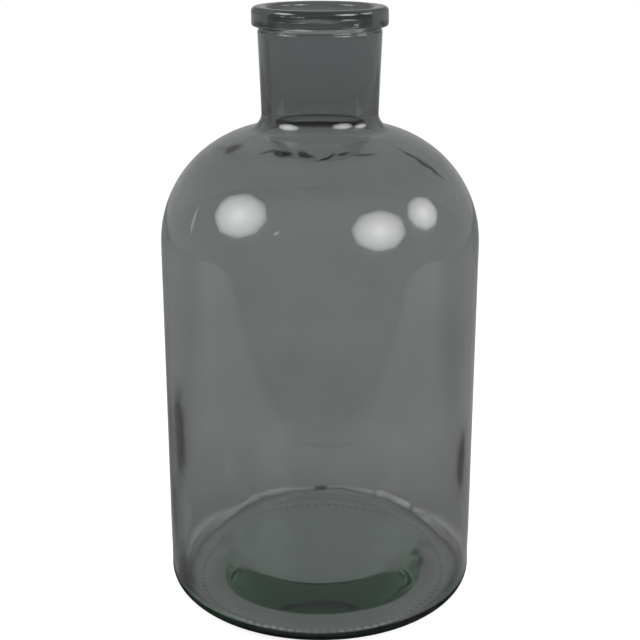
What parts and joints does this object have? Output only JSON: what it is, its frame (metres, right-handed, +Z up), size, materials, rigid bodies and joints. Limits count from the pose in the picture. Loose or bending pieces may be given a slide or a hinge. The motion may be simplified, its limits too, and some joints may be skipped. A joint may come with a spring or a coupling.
{
  "type": "bottle vase",
  "caption": "Smoky grey glass bottle vase: straight round body, domed shoulder, short neck, thick rolled lip, open mouth.",
  "frame": {"origin": "middle of the ring under the base that the bottle stands on", "axes": "+Z up along the bottle's axis, towards the mouth; the bottle is round, so X and Y are free"},
  "size_m": [0.14, 0.14, 0.2663],
  "materials": {
    "smoky_glass": "clear smoky grey glass, fire polished, slightly green in its thick base"
  },
  "bodies": {
    "root": {"glass_bottle": "smoky_glass"}
  },
  "joints": []
}
